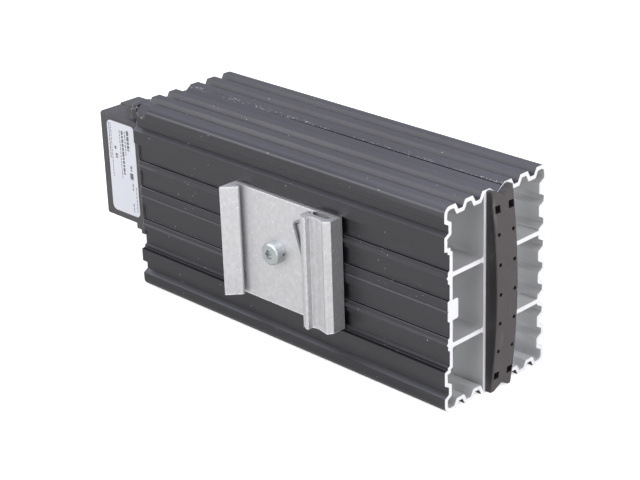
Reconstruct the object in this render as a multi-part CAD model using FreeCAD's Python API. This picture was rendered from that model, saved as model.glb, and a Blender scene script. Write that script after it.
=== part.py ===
import FreeCAD, Part
import math
import os

# Enclosure heater for a 35 mm mounting rail.
# A ribbed aluminium extrusion carries a flat heating element in its central channel. A bowed plastic bar
# closes the channel at the open end, a connection casing sits on the other end, and a rail clip is
# screwed to the near side.
# Working frame: X runs along the extrusion from the casing to the open end, Y goes from the clip side to
# the far side and Z is up. The finished pieces are moved so that the origin is the middle of the base.
# All sizes are in millimetres.

os.makedirs("parts", exist_ok=True)

Vec = FreeCAD.Vector
ALONG_X = Vec(1, 0, 0)
ALONG_Y = Vec(0, 1, 0)
ALONG_Z = Vec(0, 0, 1)

# Extrusion
profile_length = 141.5
profile_height = 68.0
profile_depth = 47.5
skin = 1.25
corner_radius = 2.6
valley_depth = 2.2
valley_mouth = 4.3
valley_floor = 1.9
broad_valley_offset = 8.87
broad_valley_pitch = 7.75
broad_valleys_each_side = 2
far_valley_pitch = 7.58
far_valleys_each_side = 4
centre_groove_half = 3.4
centre_groove_depth = 2.5
inner_wall = 1.25
web = 1.45
web_offset = 11.7
cell_radius = 1.0
web_radius = 0.6

# Clip side of the extrusion
recess_half = 19.85
recess_depth = 2.3
recess_draft = 0.3
ledge_depth = 1.42
ledge_width = 0.8
ledge_draft = 0.4
near_valley_offset = 26.7
near_valley_mouth = 4.6
near_valley_floor = 2.4
near_valley_depth = 1.85
boss_half = 3.15
boss_face = 1.4
boss_reach = 6.1
boss_wall = 1.3
boss_bevel = 0.45
boss_line = 0.35
flank_run = 0.5
ridge_offset = 11.0
ridge_half = 2.35
ridge_face = 1.52
ridge_nose = 1.07

# Punched stake on the corner rib
stake_radius = 2.95
stake_depth = 0.65
stake_place = 4.9

# Heating element stack in the central channel
stone_thickness = 3.8
stone_length = 32.0
stone_height = 24.0
frame_rib_x = 16.0
frame_rib_z = 4.0
frame_rim = 1.0
frame_relief = 0.1
electrode_thickness = 1.8
insulator_thickness = 1.0
insulator_overhang = 1.0
stack_margin = 8.0
slide_gap = 0.05
stone_gap = 0.15
tab_width = 4.0
tab_reach = 2.4

# Bar at the open end
bar_overlap = 0.2
bar_end_margin = 0.5
bar_edge = 2.2
bar_bow = 2.4
bar_notch_depth = 2.0
bar_tongue_depth = 5.0
bar_edge_radius = 0.5
square_hole = 2.4
square_hole_offset_y = 3.1
square_hole_offset_z = 27.8
square_hole_depth = 2.4
pin_hole_radius = 0.65
pin_hole_offset_y = 3.3
pin_hole_pitch = 9.75
pin_hole_rows = 5
pin_hole_rise = 0.4
pin_hole_depth = 2.0

# Connection casing
base_thickness = 4.4
base_step = 1.5
rim_thickness = 1.8
rim_proud = 0.25
rim_drop = 1.2
seam_width = 0.3
seam_depth = 0.5
cover_margin = 3.5
cover_overlap = 0.38
casing_length = 20.9
casing_depth = 16.9
casing_height = 38.8
casing_drop = 7.6
casing_wall = 1.8
casing_radius = 1.0
entry_wall = 3.0
wing_length = 5.2
wing_wall = 1.4
wing_inset = 5.0
spigot_depth = 9.0
spigot_wall = 1.5
spigot_gap = 0.4
slot_gap = 0.4

# Lug at the casing's upper corner
lug_length = 8.4
lug_width = 8.2
lug_drop = 1.95
lug_thickness = 0.7
lug_flare = 2.4
barrel_radius = 2.1
barrel_place = 3.5
lug_web_set_back = 2.4

# Push-in clamps
pole_count = 4
entry_radius = 1.7
entry_countersink = 0.6
release_width = 3.6
release_length = 2.4
release_offset = 4.8
partition = 1.0
partition_reach = 8.0
clamp_strip = 0.4
clamp_width = 6.4
clamp_anchor = 7.6
clamp_bend = 0.8
clamp_leg = 10.0
clamp_turn = 131.0
clamp_set_back = 4.1
busbar_strip = 0.8
busbar_side_gap = 0.7
busbar_play = 0.1
busbar_wall_gap = 0.8
busbar_run = 10.6
busbar_lip = 1.4
busbar_bend = 0.8
busbar_set_back = 1.4
lead_radius = 0.8
lead_bend = 2.4
lead_place = 2.6

# Label on the casing
label_thickness = 0.12
label_radius = 2.0
label_margin_outer = 4.0
label_margin_low = 2.8
label_margin_high = 2.2

# Rail clip
rail_width = 35.0
rail_thickness = 1.0
rail_gap = 0.15
clip_thickness = 2.15
clip_end_gap = 0.65
fixed_jaw_thickness = 1.75
fixed_jaw_height = 6.3
fixed_lip = 2.5
sprung_lip = 0.85
sprung_ledge = 0.4
pocket_height = 2.35
pocket_length = 8.1
pocket_wall = 2.0
roof_thickness = 1.85
roof_dip = 0.35
roof_swell = 0.5
roof_swell_run = 0.8
roof_chamfer_x = 1.2
roof_chamfer_y = 1.7
lobe_length = 3.3
lobe_height = 6.4
lobe_bevel = 1.2
lobe_crest = 0.9
fixed_tip_flat = 0.5
clip_edge_radius = 0.3
fixed_tip_radius = 0.15
pocket_radius = 0.5
roof_dip_radius = 1.2
clip_hole_gap = 0.25

# Spring wire of the clip
wire_radius = 0.5
wire_bend = 1.3
wire_tip_reach = 8.9
wire_tip_height = 12.9
wire_end_margin = 0.2
wire_end_gap = 0.2
wire_leg = 2.6

# Screw and washer
screw_radius = 2.0
head_radius = 3.8
head_height = 2.6
head_dome = 0.9
socket_radius = 1.25
socket_lobes = 6
socket_lobe_radius = 0.5
socket_depth = 1.3
screw_point = 0.5
screw_beyond_boss = 0.8
thread_gap = 0.05
washer_radius = 3.6
washer_thickness = 0.9
washer_slit = 0.6
washer_slit_angle = 35
washer_gap = 0.2

# Places worked out from the sizes above
middle_y = profile_depth / 2
middle_z = profile_height / 2
middle_x = profile_length / 2
boss_block_half = screw_radius + thread_gap + boss_wall
channel_half = stone_thickness / 2 + electrode_thickness + insulator_thickness + slide_gap
cell_inner = channel_half + inner_wall
bar_half = channel_half + bar_overlap
cover_half = channel_half + cover_overlap
plate_rear = ridge_nose
plate_front = plate_rear - clip_thickness
lip_under = plate_front - rail_thickness - rail_gap
stone_pitch_x = stone_length + frame_rib_x
stone_pitch_z = stone_height + frame_rib_z
electrode_height = stone_pitch_z + stone_height + 2 * frame_rim
insulator_height = electrode_height + 2 * insulator_overhang
casing_far = middle_y - channel_half
casing_near = casing_far - casing_depth
casing_high = profile_height - casing_drop
casing_low = casing_high - casing_height
casing_middle = casing_high - casing_height / 2
base_low = casing_low - base_step
rim_low = base_low - rim_drop
lug_top = profile_height - lug_drop
label_low = casing_low + label_margin_low
label_high = casing_high - label_margin_high
pole_pitch = (casing_height - 2 * casing_wall + partition) / pole_count
busbar_width = 2 * pole_pitch - partition - 2 * busbar_side_gap
inside_x = entry_wall - casing_length
inside_near = casing_near + casing_wall
busbar_middle = casing_far - casing_wall - busbar_wall_gap - busbar_lip - busbar_bend
busbar_face = busbar_middle - busbar_strip / 2
entry_place = busbar_face - busbar_play - entry_radius
line_z = casing_middle + pole_pitch
neutral_z = casing_middle - pole_pitch
jaw_tip = plate_front - lobe_height
bar_crown = profile_length + bar_edge + bar_bow
origin_shift = Vec((casing_length - bar_crown) / 2, -(profile_depth + jaw_tip) / 2, 0)


def box(low, high):
    """Return a block between two corners."""
    size = Vec(*high) - Vec(*low)
    return Part.makeBox(size.x, size.y, size.z, Vec(*low))


def polygon(points):
    """Return a flat face with straight sides."""
    corners = [Vec(*point) for point in points]
    return Part.Face(Part.makePolygon(corners + corners[:1]))


def rounded_face(corners, radii):
    """Return a flat face whose corners are rounded by the given radii, where zero is a sharp corner."""
    points = [Vec(*corner) for corner in corners]
    count = len(points)
    edges = []
    ends = []
    for index in range(count):
        here = points[index]
        back = points[index - 1] - here
        ahead = points[(index + 1) % count] - here
        radius = radii[index]
        if radius == 0:
            ends.append((here, here))
            continue
        half_turn = back.getAngle(ahead) / 2
        trim = radius / math.tan(half_turn)
        first = here + back.normalize() * trim
        last = here + ahead.normalize() * trim
        bisector = (back + ahead).normalize()
        middle = here + bisector * (radius / math.sin(half_turn) - radius)
        edges.append(Part.Arc(first, middle, last).toShape())
        ends.append((first, last))
    for index in range(count):
        start = ends[index][1]
        stop = ends[(index + 1) % count][0]
        if start.distanceToPoint(stop) > 1e-6:
            edges.append(Part.makeLine(start, stop))
    return Part.Face(Part.Wire(Part.__sortEdges__(edges)))


def section_rectangle(low, high, radii):
    """Return a rounded rectangle in the YZ plane, corners given anticlockwise from the low one."""
    corners = [(0, low[0], low[1]), (0, high[0], low[1]), (0, high[0], high[1]), (0, low[0], high[1])]
    return rounded_face(corners, radii)


def moved(shape, x=0.0, y=0.0, z=0.0):
    """Return a copy of a shape, shifted."""
    copy = shape.copy()
    copy.translate(Vec(x, y, z))
    return copy


def mirrored_z(shape):
    """Return a shape mirrored in the extrusion's level middle plane."""
    return shape.mirror(Vec(0, 0, middle_z), ALONG_Z)


def one_solid(shape):
    """Return the single solid that a boolean operation left, with its split faces joined."""
    return shape.removeSplitter().Solids[0]


def walk(start, heading, moves):
    """Walk straight runs and turns in the XY plane and yield each step's places and directions."""
    place = Vec(*start)
    angle = math.radians(heading)
    for kind, first, second in moves:
        direction = Vec(math.cos(angle), math.sin(angle), 0)
        if kind == "run":
            stop = place + direction * first
            yield kind, place, stop, direction, direction, None
            place = stop
            continue
        side = 1 if second > 0 else -1
        left = Vec(-direction.y, direction.x, 0)
        pivot = place + left * (side * first)
        angle += math.radians(second)
        after = Vec(math.cos(angle), math.sin(angle), 0)
        stop = pivot - Vec(-after.y, after.x, 0) * (side * first)
        yield kind, place, stop, direction, after, pivot
        place = stop


def bent_strip(start, heading, moves, thickness, width):
    """Return a strip folded along runs and bends in the XY plane, as wide as given along Z."""
    sides = {1: [], -1: []}
    for kind, begin, stop, before, after, pivot in walk(start, heading, moves):
        for side, edges in sides.items():
            first = begin + Vec(-before.y, before.x, 0) * (side * thickness / 2)
            last = stop + Vec(-after.y, after.x, 0) * (side * thickness / 2)
            if kind == "run":
                edges.append(Part.makeLine(first, last))
                continue
            spoke = ((first - pivot) + (last - pivot)).normalize()
            middle = pivot + spoke * (first - pivot).Length
            edges.append(Part.Arc(first, middle, last).toShape())
    caps = []
    for edge, at_start in ((0, True), (-1, False)):
        ends = [side[edge].Vertexes[0 if at_start else -1].Point for side in sides.values()]
        caps.append(Part.makeLine(ends[0], ends[1]))
    outline = Part.Wire(Part.__sortEdges__(sides[1] + sides[-1] + caps))
    strip = Part.Face(outline).extrude(Vec(0, 0, width))
    return moved(strip, z=-width / 2)


def rounded_route(points, bend):
    """Return a wire of straight runs joined by tangent arcs."""
    corners = [Vec(*point) for point in points]
    edges = []
    here = corners[0]
    for before, corner, after in zip(corners, corners[1:], corners[2:]):
        back = (before - corner).normalize()
        ahead = (after - corner).normalize()
        half_turn = back.getAngle(ahead) / 2
        trim = bend / math.tan(half_turn)
        middle = corner + (back + ahead).normalize() * (bend / math.sin(half_turn) - bend)
        first = corner + back * trim
        last = corner + ahead * trim
        edges.append(Part.makeLine(here, first))
        edges.append(Part.Arc(first, middle, last).toShape())
        here = last
    edges.append(Part.makeLine(here, corners[-1]))
    return Part.Wire(edges)


def round_bar(points, bend, radius):
    """Return a round bar bent along a route."""
    route = rounded_route(points, bend)
    heading = Vec(*points[1]) - Vec(*points[0])
    ring = Part.Wire(Part.makeCircle(radius, Vec(*points[0]), heading))
    return route.makePipeShell([ring], True, True)


def side_place(side, along, depth):
    """Return the YZ place of a point given along one side of the extrusion and inwards from it."""
    places = {
        "near": (0, depth, middle_z + along),
        "far": (0, profile_depth - depth, middle_z + along),
        "top": (0, middle_y + along, profile_height - depth),
        "bottom": (0, middle_y + along, depth),
    }
    return places[side]


def side_polygon(side, points):
    """Return a flat face given by its points along and inwards from one side."""
    return polygon([side_place(side, along, depth) for along, depth in points])


def groove(side, centre, mouth, floor, depth, shell):
    """Return the cut of one groove, or what it takes from the inside where the shell is not zero."""
    flank = math.atan2((mouth - floor) / 2, depth)
    spread = shell * math.tan((math.pi / 2 - flank) / 2)
    mouth_half = mouth / 2 + spread
    floor_half = floor / 2 + spread
    lead = 0 if shell else 1
    points = [
        (centre - mouth_half, -lead),
        (centre - mouth_half, shell),
        (centre - floor_half, depth + shell),
        (centre + floor_half, depth + shell),
        (centre + mouth_half, shell),
        (centre + mouth_half, -lead),
    ]
    return side_polygon(side, points)


def outline_grooves(shell):
    """Return every groove of the extrusion's outline."""
    cuts = []
    for index in range(broad_valleys_each_side):
        offset = broad_valley_offset + index * broad_valley_pitch
        for side in ("top", "bottom"):
            for centre in (offset, -offset):
                cuts.append(groove(side, centre, valley_mouth, valley_floor, valley_depth, shell))
    for index in range(far_valleys_each_side):
        offset = (index + 0.5) * far_valley_pitch
        for centre in (offset, -offset):
            cuts.append(groove("far", centre, valley_mouth, valley_floor, valley_depth, shell))
    for side in ("top", "bottom"):
        cuts.append(groove(side, 0, 2 * centre_groove_half, 0.01, centre_groove_depth, shell))
    for centre in (near_valley_offset, -near_valley_offset):
        cuts.append(groove("near", centre, near_valley_mouth, near_valley_floor, near_valley_depth, shell))
    ledge_floor = recess_half - recess_draft
    recess_floor = ledge_floor - ledge_width - ledge_draft
    flare = ledge_draft * recess_depth / (recess_depth - ledge_depth)
    cuts.append(groove("near", 0, 2 * recess_half, 2 * ledge_floor, ledge_depth, shell))
    cuts.append(groove("near", 0, 2 * (recess_floor + flare), 2 * recess_floor, recess_depth, shell))
    return cuts


def near_details():
    """Return the raised boss and ridges inside the recess of the clip side."""
    boss = side_polygon("near", [
        (-boss_half - flank_run, recess_depth + skin / 2),
        (-boss_half - flank_run, recess_depth),
        (-boss_half, boss_face),
        (-boss_line, boss_face),
        (0, boss_face + boss_line),
        (boss_line, boss_face),
        (boss_half, boss_face),
        (boss_half + flank_run, recess_depth),
        (boss_half + flank_run, recess_depth + skin / 2),
    ])
    pieces = [boss]
    shoulder = ridge_half - flank_run
    nose = flank_run / 2
    for centre in (ridge_offset, -ridge_offset):
        pieces.append(side_polygon("near", [
            (centre - ridge_half, recess_depth + skin / 2),
            (centre - ridge_half, recess_depth),
            (centre - shoulder, ridge_face),
            (centre - nose * 2, ridge_face),
            (centre - nose, ridge_nose),
            (centre + nose, ridge_nose),
            (centre + nose * 2, ridge_face),
            (centre + shoulder, ridge_face),
            (centre + ridge_half, recess_depth),
            (centre + ridge_half, recess_depth + skin / 2),
        ]))
    return pieces


def heatsink_section():
    """Return the faces of the extrusion's section: a ribbed skin round two columns of three cells."""
    outer = section_rectangle((0, 0), (profile_depth, profile_height), [corner_radius] * 4)
    outer = outer.cut(outline_grooves(0)).fuse(near_details())
    inner_radius = corner_radius - skin
    inner_low = (skin, skin)
    inner_high = (profile_depth - skin, profile_height - skin)
    inside = section_rectangle(inner_low, inner_high, [inner_radius] * 4)
    inside = inside.cut(outline_grooves(skin))
    beyond = profile_depth
    rows = [
        (-beyond, -web_offset - web / 2, (False, True)),
        (-web_offset + web / 2, web_offset - web / 2, (True, True)),
        (web_offset + web / 2, beyond, (True, False)),
    ]
    half = boss_block_half
    boss_block = side_polygon("near", [
        (-half, 0),
        (-half, boss_reach - boss_bevel),
        (boss_bevel - half, boss_reach),
        (half - boss_bevel, boss_reach),
        (half, boss_reach - boss_bevel),
        (half, 0),
    ])
    channel_low = (middle_y - channel_half, 0)
    channel_high = (middle_y + channel_half, profile_height)
    voids = [section_rectangle(channel_low, channel_high, [0] * 4)]
    for low, high, (round_low, round_high) in rows:
        low_radius = cell_radius if round_low else 0
        high_radius = cell_radius if round_high else 0
        near_low = (-beyond, middle_z + low)
        near_high = (middle_y - cell_inner, middle_z + high)
        far_low = (middle_y + cell_inner, middle_z + low)
        far_high = (2 * beyond, middle_z + high)
        near = section_rectangle(near_low, near_high, [0, low_radius, high_radius, 0])
        far = section_rectangle(far_low, far_high, [low_radius, 0, 0, high_radius])
        voids.extend([near, far])
    cells = inside.common(voids).cut(boss_block)
    return outer.cut(cells.Faces)


def web_corners(body):
    """Return the edges along the extrusion where the webs meet the skin of the recess."""
    faces = (web_offset - web / 2, web_offset + web / 2)
    found = []
    for edge in body.Edges:
        extent = edge.BoundBox
        along = extent.XLength > profile_length / 2
        on_skin = abs(extent.YMin - recess_depth - skin) < 0.01
        on_web = min(abs(abs(extent.ZMin - middle_z) - place) for place in faces) < 0.01
        if along and on_skin and on_web:
            found.append(edge)
    return found


def heatsink_profile():
    """Return the extrusion, sawn to length, with the clip's threaded hole and the stake mark."""
    runs = [face.extrude(Vec(profile_length, 0, 0)) for face in heatsink_section().Faces]
    body = one_solid(runs[0].multiFuse(runs[1:]))
    body = body.makeFillet(web_radius, web_corners(body))
    bore = Part.makeCylinder(
        screw_radius + thread_gap, boss_reach + 2, Vec(middle_x, -1, middle_z), ALONG_Y
    )
    inward = Vec(0, 1, -1).normalize()
    corner = Vec(stake_place, corner_radius, profile_height - corner_radius)
    stake_floor = corner - inward * (corner_radius - stake_depth)
    stake = Part.makeCylinder(stake_radius, corner_radius, stake_floor, -inward)
    return one_solid(body.cut([bore, stake]))


def end_bar():
    """Return the bowed bar over the element channel, with its tongue, notches and holes."""
    low = bar_end_margin
    high = profile_height - bar_end_margin
    face = profile_length
    edge = face + bar_edge
    crown = edge + bar_bow
    straight = [
        Part.makeLine(Vec(edge, 0, low), Vec(face, 0, low)),
        Part.makeLine(Vec(face, 0, low), Vec(face, 0, high)),
        Part.makeLine(Vec(face, 0, high), Vec(edge, 0, high)),
    ]
    bow = Part.Arc(Vec(edge, 0, high), Vec(crown, 0, middle_z), Vec(edge, 0, low)).toShape()
    plan = Part.Face(Part.Wire(straight + [bow]))
    bar = moved(plan, y=middle_y - bar_half).extrude(Vec(0, 2 * bar_half, 0))
    front_edges = [item for item in bar.Edges if isinstance(item.Curve, Part.Circle)]
    bar = bar.makeFillet(bar_edge_radius, front_edges)
    notch = polygon([
        (face - 1, middle_y - centre_groove_half, low - 0.01),
        (face - 1, middle_y, low + bar_notch_depth),
        (face - 1, middle_y + centre_groove_half, low - 0.01),
    ]).extrude(Vec(bar_edge + bar_bow + 2, 0, 0))
    cuts = [notch, mirrored_z(notch)]
    for side in (-1, 1):
        for end in (-1, 1):
            y = middle_y + side * square_hole_offset_y
            z = middle_z + end * square_hole_offset_z
            half = square_hole / 2
            cuts.append(box((edge - square_hole_depth / 2, y - half, z - half), (crown, y + half, z + half)))
        for row in range(pin_hole_rows):
            y = middle_y + side * pin_hole_offset_y
            z = middle_z + pin_hole_rise + (row - (pin_hole_rows - 1) / 2) * pin_hole_pitch
            start = Vec(edge + bar_bow / 2 - pin_hole_depth, y, z)
            cuts.append(Part.makeCylinder(pin_hole_radius, bar_bow + pin_hole_depth, start, ALONG_X))
    tongue_half = channel_half - slide_gap * 2
    tongue_end = insulator_height / 2
    tongue = box(
        (face - bar_tongue_depth, middle_y - tongue_half, middle_z - tongue_end),
        (face, middle_y + tongue_half, middle_z + tongue_end),
    )
    return one_solid(bar.cut(cuts).fuse(tongue))


def spigot():
    """Return the hollow spigot that plugs the near middle cell."""
    half = web_offset - web / 2 - spigot_gap
    near = boss_reach + spigot_gap
    far = middle_y - cell_inner - spigot_gap
    block = box((-1, near, middle_z - half), (spigot_depth, far, middle_z + half))
    hollow = box(
        (0, near + spigot_wall, middle_z - half + spigot_wall),
        (spigot_depth + 1, far - spigot_wall, middle_z + half - spigot_wall),
    )
    return block.cut(hollow)


def corner_lug():
    """Return the flat lug at the casing's upper corner, with the barrel and the web that carry it."""
    near = casing_near
    far = near + lug_width
    under = lug_top - lug_thickness
    plate = polygon([
        (0, near, under),
        (-lug_length, near, under),
        (-lug_length, far, under),
        (-base_thickness, far, under),
        (0, far + lug_flare, under),
    ]).extrude(Vec(0, 0, lug_thickness))
    barrel_middle = under - barrel_radius + lug_thickness / 2
    barrel = Part.makeCylinder(barrel_radius, lug_width, Vec(-barrel_place, near, barrel_middle), ALONG_Y)
    left_over = barrel.common(box((-lug_length, near, casing_high), (0, far, lug_top)))
    web_low = (-base_thickness, near + lug_web_set_back, casing_high - 1)
    web_block = box(web_low, (0, far, under + lug_thickness / 2))
    return plate.fuse([left_over, web_block])


def connector_base():
    """Return the flange between the profile and the casing."""
    flange = box((-base_thickness, casing_near, base_low), (0, casing_far, casing_high))
    cover_low = (-base_thickness, middle_y - cover_half, cover_margin)
    cover = box(cover_low, (0, middle_y + cover_half, profile_height - cover_margin))
    rim = box((-rim_thickness, casing_near - rim_proud, rim_low), (0, casing_near + 1, casing_high))
    foot = box((-rim_thickness, casing_near, rim_low), (0, casing_far, base_low + 1))
    body = flange.fuse([cover, rim, foot, spigot(), corner_lug()])
    seam_low = (-rim_thickness - seam_width, casing_near - 1, base_low - 1)
    slots = [box(seam_low, (-rim_thickness, casing_near + seam_depth, casing_high - seam_depth))]
    for place_y, place_z in ((electrode_middle(-1), line_z), (electrode_middle(1), neutral_z)):
        reach_y = electrode_thickness / 2 + slot_gap
        reach_z = tab_width / 2 + slot_gap
        slots.append(box(
            (-base_thickness - 1, place_y - reach_y, place_z - reach_z),
            (1, place_y + reach_y, place_z + reach_z),
        ))
    return one_solid(body.cut(slots))


def pole_places():
    """Return the height of each clamp, from the lowest."""
    return [casing_middle + (index - (pole_count - 1) / 2) * pole_pitch for index in range(pole_count)]


def connector_housing():
    """Return the hollow casing with its wire entries, release slots and partitions."""
    main = box((-casing_length, casing_near, casing_low), (-base_thickness, casing_far, casing_high))
    rounded = [
        edge for edge in main.Edges
        if edge.BoundBox.XMin < -base_thickness - 0.01
    ]
    main = main.makeFillet(casing_radius, rounded)
    wing_start = -base_thickness - wing_length
    wing_low = casing_low + wing_inset
    wing_high = casing_high - wing_inset
    wing_far = middle_y + cover_half
    wing = box((wing_start, casing_far - casing_radius, wing_low), (-base_thickness, wing_far, wing_high))
    hollow = box(
        (inside_x, inside_near, casing_low + casing_wall),
        (-base_thickness + 1, casing_far - casing_wall, casing_high - casing_wall),
    )
    wing_hollow = box(
        (wing_start + wing_wall, inside_near, wing_low + wing_wall),
        (-base_thickness + 1, wing_far - wing_wall, wing_high - wing_wall),
    )
    shell = main.fuse(wing).cut([hollow, wing_hollow])
    ribs = [box(
        (inside_x - 1, inside_near - 1, casing_middle - partition / 2),
        (-base_thickness, casing_far - casing_wall, casing_middle + partition / 2),
    )]
    for z in (line_z, neutral_z):
        ribs.append(box(
            (inside_x - 1, inside_near - 1, z - partition / 2),
            (-base_thickness, inside_near + partition_reach, z + partition / 2),
        ))
    shell = shell.fuse(ribs)
    cuts = []
    for z in pole_places():
        mouth = Vec(-casing_length, entry_place, z)
        cuts.append(Part.makeCylinder(entry_radius, entry_wall + 2, mouth - ALONG_X, ALONG_X))
        cone_radius = entry_radius + entry_countersink
        cuts.append(Part.makeCone(cone_radius, entry_radius, entry_countersink, mouth, ALONG_X))
        half_y = release_length / 2
        half_z = release_width / 2
        release_place = entry_place - release_offset
        cuts.append(box(
            (-casing_length - 1, release_place - half_y, z - half_z),
            (inside_x + 0.5, release_place + half_y, z + half_z),
        ))
    return one_solid(shell.cut(cuts))


def rating_label():
    """Return the label stuck on the near face of the casing."""
    low_x = label_margin_outer - casing_length
    high_x = -rim_thickness - seam_width
    corners = [
        (low_x, casing_near, label_low),
        (high_x, casing_near, label_low),
        (high_x, casing_near, label_high),
        (low_x, casing_near, label_high),
    ]
    return rounded_face(corners, [label_radius] * 4).extrude(Vec(0, -label_thickness, 0))


def clip_section():
    """Return the clip's section: fixed jaw, plate and the hollow jaw that holds the spring wire."""
    groove_x = middle_x - rail_width / 2 - rail_gap
    fixed_outer = groove_x - fixed_jaw_thickness
    fixed_tip = plate_front - fixed_jaw_height
    lip_end = groove_x + fixed_lip + rail_gap
    slope_top = fixed_tip + (lip_end - fixed_outer)
    lobe_left = middle_x + rail_width / 2 - sprung_lip
    ledge = lobe_left + sprung_lip + sprung_ledge
    pocket_end = ledge + pocket_length
    outer = pocket_end + pocket_wall
    pocket_roof = plate_front - pocket_height
    roof_top = pocket_roof - roof_thickness
    lobe_right = lobe_left + lobe_length
    swell_x = outer - roof_chamfer_x
    dip_x = lobe_right + (swell_x - lobe_right) / 3
    swell = roof_top - roof_swell
    tip = plate_front - lobe_height
    corners = [
        (fixed_outer, plate_rear),
        (fixed_outer, fixed_tip),
        (fixed_outer + fixed_tip_flat, fixed_tip),
        (lip_end, slope_top),
        (lip_end, lip_under),
        (groove_x, lip_under),
        (groove_x, plate_front),
        (pocket_end, plate_front),
        (pocket_end, pocket_roof),
        (ledge, pocket_roof),
        (ledge, lip_under),
        (lobe_left, lip_under),
        (lobe_left, tip + lobe_bevel),
        (lobe_right - lobe_crest, tip),
        (lobe_right, tip),
        (lobe_right, roof_top),
        (dip_x, roof_top + roof_dip),
        (swell_x - roof_swell_run, swell),
        (swell_x, swell),
        (outer, swell + roof_chamfer_y),
        (outer, plate_rear),
    ]
    soft = clip_edge_radius
    radii = [0, soft, fixed_tip_radius, soft, soft, 0, 0, 0, pocket_radius, 0]
    radii += [soft] * 6 + [roof_dip_radius] + [soft] * 4
    return rounded_face([(x, y, 0) for x, y in corners], radii), ledge, pocket_end


def clip_half_length():
    """Return half the clip's length, which fits between the flanks of the recess."""
    return recess_half - clip_end_gap


def din_clip():
    """Return the extruded rail clip with its screw hole."""
    section, _, _ = clip_section()
    half = clip_half_length()
    body = moved(section, z=middle_z - half).extrude(Vec(0, 0, 2 * half))
    start = Vec(middle_x, plate_front - 1, middle_z)
    hole = Part.makeCylinder(screw_radius + clip_hole_gap, clip_thickness + 2, start, ALONG_Y)
    return one_solid(body.cut(hole))


def clip_spring():
    """Return the spring wire: its legs stand in the pocket and its middle bulges into the rail gap."""
    _, ledge, _ = clip_section()
    y = plate_front - wire_radius - slide_gap
    leg_x = ledge + wire_radius + wire_end_gap
    high = middle_z + clip_half_length() - wire_end_margin
    low = middle_z - clip_half_length() + wire_end_margin
    points = [
        (leg_x, y, high),
        (leg_x, y, high - wire_leg),
        (ledge - wire_tip_reach, y, middle_z + wire_tip_height),
        (leg_x, y, low + wire_leg),
        (leg_x, y, low),
    ]
    return round_bar(points, wire_bend, wire_radius)


def clip_screw():
    """Return the pan-head screw, turned about its axis, with a six-lobe socket."""
    seat = plate_front - washer_thickness
    front = seat - head_height
    shank_end = boss_reach + screw_beyond_boss
    top = Vec(middle_x, front, middle_z)
    rim = Vec(middle_x + head_radius, front + head_dome, middle_z)
    crown_edge = Vec(middle_x + head_radius - head_dome, front, middle_z)
    dome_pivot = Vec(middle_x + head_radius - head_dome, front + head_dome, middle_z)
    knee = dome_pivot + Vec(1, -1, 0).normalize() * head_dome
    lower_points = [
        rim,
        Vec(middle_x + head_radius, seat, middle_z),
        Vec(middle_x + screw_radius, seat, middle_z),
        Vec(middle_x + screw_radius, shank_end - screw_point, middle_z),
        Vec(middle_x + screw_radius - screw_point, shank_end, middle_z),
        Vec(middle_x, shank_end, middle_z),
        top,
    ]
    edges = [Part.makeLine(top, crown_edge), Part.Arc(crown_edge, knee, rim).toShape()]
    edges += [Part.makeLine(first, last) for first, last in zip(lower_points, lower_points[1:])]
    body = Part.Face(Part.Wire(edges)).revolve(Vec(middle_x, 0, middle_z), ALONG_Y, 360)
    start = Vec(middle_x, front - 1, middle_z)
    cuts = [Part.makeCylinder(socket_radius, socket_depth + 1, start, ALONG_Y)]
    for index in range(socket_lobes):
        angle = 2 * math.pi * index / socket_lobes
        shift = Vec(math.cos(angle), 0, math.sin(angle)) * socket_radius
        cuts.append(Part.makeCylinder(socket_lobe_radius, socket_depth + 1, start + shift, ALONG_Y))
    return one_solid(body.cut(cuts))


def clip_lock_washer():
    """Return the split spring washer under the screw head."""
    start = Vec(middle_x, plate_front - washer_thickness, middle_z)
    ring = Part.makeCylinder(washer_radius, washer_thickness, start, ALONG_Y)
    hole = Part.makeCylinder(screw_radius + washer_gap, washer_thickness, start, ALONG_Y)
    slit_depth = 3 * washer_thickness
    slit = Part.makeBox(washer_radius + 1, slit_depth, washer_slit)
    slit.translate(Vec(0, -slit_depth / 2, -washer_slit / 2))
    slit.rotate(Vec(0, 0, 0), ALONG_X, washer_slit_angle)
    slit.translate(Vec(middle_x, plate_front - washer_thickness / 2, middle_z))
    return one_solid(ring.cut([hole, slit]))


def electrode_middle(side):
    """Return the height of an electrode's middle plane along Y, where -1 is the near one."""
    return middle_y + side * (stone_thickness + electrode_thickness) / 2


def slab(centre_y, thickness, low_x, high_x, height):
    """Return a flat plate that stands in the channel."""
    return box(
        (low_x, centre_y - thickness / 2, middle_z - height / 2),
        (high_x, centre_y + thickness / 2, middle_z + height / 2),
    )


def stone_places():
    """Return the middle of each heating stone along X and Z."""
    return [
        (middle_x + end * stone_pitch_x / 2, middle_z + row * stone_pitch_z / 2)
        for row in (-1, 1) for end in (-1, 1)
    ]


def stone_block(x, z, thickness, grow):
    """Return one stone's block, grown all round by the given gap."""
    half_x = stone_length / 2 + grow
    half_z = stone_height / 2 + grow
    return box(
        (x - half_x, middle_y - thickness / 2, z - half_z),
        (x + half_x, middle_y + thickness / 2, z + half_z),
    )


def stone_frame():
    """Return the frame whose windows hold the stones."""
    thickness = stone_thickness - 2 * frame_relief
    plate = slab(middle_y, thickness, stack_margin, profile_length - stack_margin, electrode_height)
    windows = [stone_block(x, z, stone_thickness, stone_gap) for x, z in stone_places()]
    return one_solid(plate.cut(windows))


def electrode(side, tab_z):
    """Return a contact plate with the tab that passes through the casing's flange."""
    centre = electrode_middle(side)
    plate = slab(centre, electrode_thickness, stack_margin, profile_length - stack_margin, electrode_height)
    tab = box(
        (-tab_reach, centre - electrode_thickness / 2, tab_z - tab_width / 2),
        (stack_margin + 1, centre + electrode_thickness / 2, tab_z + tab_width / 2),
    )
    return one_solid(plate.fuse(tab))


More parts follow.
